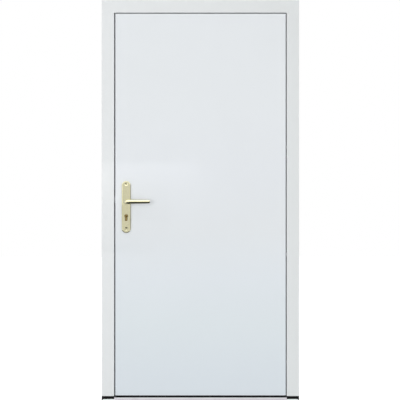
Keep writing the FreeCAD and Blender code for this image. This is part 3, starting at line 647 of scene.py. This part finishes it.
for body, (x, y, way) in hingeScrews["wings"].items():  # the middle screw steps aside
    shift = way * hingeScrews["shift"]
    spots = [(x + (shift if rise else -shift), y, middle + rise)
             for middle in hingeScrews["middles"] for rise in hingeScrews["rises"]]
    placeHeads(f"hingeScrews.{body}", body, toFace[1], spots)
for word, body, turn in (("forend", "leaf", (0, -quarter, 0)),
                         ("strike", "frame", (0, quarter, 0))):
    x, heights = edgeScrews[word]
    placeHeads(f"{word}Screws", body, turn, [(x, edgeScrews["y"], z) for z in heights])
placeHeads("thresholdScrews", "frame", (0, 0, 0),
           [(x, sillScrews["y"], sillScrews["z"]) for x in sillScrews["along"]])
bpy.data.objects.remove(headMaster)
print("screw heads made")


# caps over the fixing screws in the jambs' openings: a low disc, rounded and dished

cap = {"radius": 0.0075, "height": 0.0010, "round": 0.0006, "rim": 0.0014, "slope": 0.00105,
       "dip": 0.0003, "y": -0.009, "x": 0.433, "heights": (0.190, 0.730, 1.270, 1.810)}


def makeCap():  # stands on z = 0 at the origin
    top = cap["height"]
    disc = addSolid("cylinder", (0, 0, top / 2), vertices=40, radius=cap["radius"], depth=top)
    bpy.ops.object.mode_set(mode="EDIT")
    pick("edges", lambda e: liesAt(e, heightAxis, top))
    bpy.ops.mesh.bevel(offset=cap["round"], segments=4, affect="EDGES")
    pick("faces", lambda f: liesAt(f, heightAxis, top))
    bpy.ops.mesh.inset(thickness=cap["rim"])
    bpy.ops.mesh.inset(thickness=cap["slope"], depth=-cap["dip"])
    bpy.ops.object.mode_set(mode="OBJECT")
    return disc


capMaster = makeCap()
caps = [copyTo(capMaster, (side * cap["x"], cap["y"], z), (0, -side * quarter, 0))
        for side in (-1, 1) for z in cap["heights"]]
bpy.data.objects.remove(capMaster)
finishPiece(joinUp(caps), "fixingCaps", "frame", "packer_plastic")
print("fixing caps made")


# camera: straight from outside, as far back as the photograph's gaps suggest

view = {"distance": 6.0, "height": 1.0032, "side": -0.002, "width": 2.006, "face": -0.024,
        "sensor": 36, "clipEnd": 100}


def placeCamera():
    lens = bpy.data.cameras.new("doorCamera")
    lens.sensor_fit = "HORIZONTAL"
    lens.sensor_width = view["sensor"]
    lens.lens = view["sensor"] * view["distance"] / view["width"]
    lens.clip_end = view["clipEnd"]
    camera = bpy.data.objects.new("doorCamera", lens)
    bpy.context.scene.collection.objects.link(camera)
    camera.location = (view["side"], view["face"] - view["distance"], view["height"])
    camera.rotation_euler = (quarter, 0, 0)
    bpy.context.scene.camera = camera


# studio: a big soft lamp in front at the left, a weaker one at the right and one high up behind,
# a white surround, a pale floor, and the cards that polished handles mirror in a photo studio

studio = {
    "aim": (0, 0, 1), "surround": 0.55, "cardTone": 8, "cardRoughness": 0.5,
    "lamps": {  # place, size, power
        "keyLamp": ((-2.2, -6.4, 0.95), 4.5, 195),
        "fillLamp": ((3.0, -6.0, 0.9), 3.0, 55),
        "rearLamp": ((1.6, 5.5, 3.6), 3.5, 120),
    },
    "cards": {  # seen in gloss and from their front side only: middle, size, turn, level
        "cardAboveLevers": ((-0.42, -0.44, 1.20), (0.80, 0.70), (math.pi, 0, 0), 2.4),
        "cardLeftOfLevers": ((-0.56, -0.26, 1.07), (0.18, 0.36), (0, quarter, 0), 1.8),
        "cardBelowPlates": ((-0.47, -0.34, 0.74), (0.44, 0.62), (0, 0, 0), 0.0),
        "cardUnderGrips": ((-0.25, -0.22, 0.90), (0.19, 0.39), (0, 0, 0), 0.0),
        "cardRightOfPlates": ((-0.16, -0.24, 0.96), (0.34, 0.40), (0, -quarter, 0), 0.36),
    },
}


def placeLamp(name, place, size, power):
    lamp = bpy.data.lights.new(name, "AREA")
    lamp.shape = "DISK"
    lamp.size = size
    lamp.energy = power
    holder = bpy.data.objects.new(name, lamp)
    bpy.context.scene.collection.objects.link(holder)
    holder.location = place
    holder.visible_glossy = False  # the cards and the surround make the highlights
    away = Vector(studio["aim"]) - Vector(place)
    holder.rotation_euler = away.to_track_quat("-Z", "Y").to_euler()


def byRay(tree, hidden, seen):  # one level as light, another for camera, gloss and glass rays
    path = tree.nodes.new("ShaderNodeLightPath")
    total = path.outputs["Is Camera Ray"]
    for word in ("Is Glossy Ray", "Is Transmission Ray"):
        either = tree.nodes.new("ShaderNodeMath")
        either.operation = "MAXIMUM"
        tree.links.new(total, either.inputs[0])
        tree.links.new(path.outputs[word], either.inputs[1])
        total = either.outputs[0]
    level = tree.nodes.new("ShaderNodeMapRange")
    level.inputs["To Min"].default_value = hidden
    level.inputs["To Max"].default_value = seen
    tree.links.new(total, level.inputs["Value"])
    return level.outputs["Result"]


def whiteSurround():
    world = bpy.data.worlds.new("whiteSurround")
    bpy.context.scene.world = world
    world.use_nodes = True
    tree = world.node_tree
    background = tree.nodes["Background"]
    background.inputs["Color"].default_value = (1, 1, 1, 1)
    tree.links.new(byRay(tree, studio["surround"], 1.0), background.inputs["Strength"])


def stagePlane(name, size, place, turn, finish):
    clearSelection()
    bpy.ops.mesh.primitive_plane_add(size=1, location=place, rotation=turn)
    plane = bpy.context.object
    plane.name = name
    plane.scale = (*size, 1)
    bpy.ops.object.transform_apply(location=True, rotation=True, scale=True)
    plane.data.materials.append(finish)
    return plane


ground = {"size": 30, "drop": 0.0005, "tone": 236, "roughness": 0.9, "lift": 0.62}


def paleFloor():
    colour = tone(ground["tone"], ground["tone"], ground["tone"])
    finish, tree, shader = newFinish("paleFloor", colour, ground["roughness"])
    shader.inputs["Emission Color"].default_value = (1, 1, 1, 1)
    tree.links.new(byRay(tree, 0.0, ground["lift"]), shader.inputs["Emission Strength"])
    size, place = (ground["size"], ground["size"]), (0, 0, -ground["drop"])
    stagePlane("studioFloor", size, place, (0, 0, 0), finish)


def placeCard(name, middle, size, turn, level):
    colour = tone(studio["cardTone"], studio["cardTone"], studio["cardTone"])
    finish, tree, shader = newFinish(name, colour, studio["cardRoughness"])
    shader.inputs["Specular IOR Level"].default_value = 0.0
    shader.inputs["Emission Color"].default_value = (1, 1, 1, 1)
    shader.inputs["Emission Strength"].default_value = level
    sides = tree.nodes.new("ShaderNodeNewGeometry")
    clear = tree.nodes.new("ShaderNodeBsdfTransparent")
    oneSided = tree.nodes.new("ShaderNodeMixShader")
    tree.links.new(sides.outputs["Backfacing"], oneSided.inputs["Fac"])
    tree.links.new(shader.outputs["BSDF"], oneSided.inputs[1])
    tree.links.new(clear.outputs["BSDF"], oneSided.inputs[2])
    tree.links.new(oneSided.outputs["Shader"], tree.nodes["Material Output"].inputs["Surface"])
    card = stagePlane(name, size, middle, turn, finish)
    card.visible_camera = card.visible_diffuse = card.visible_shadow = False


placeCamera()
for name, facts in studio["lamps"].items():
    placeLamp(name, *facts)
whiteSurround()
paleFloor()
for name, facts in studio["cards"].items():
    placeCard(name, *facts)
bpy.context.scene.view_settings.view_transform = "Standard"
print("studio: camera, three lamps, surround, floor and cards")
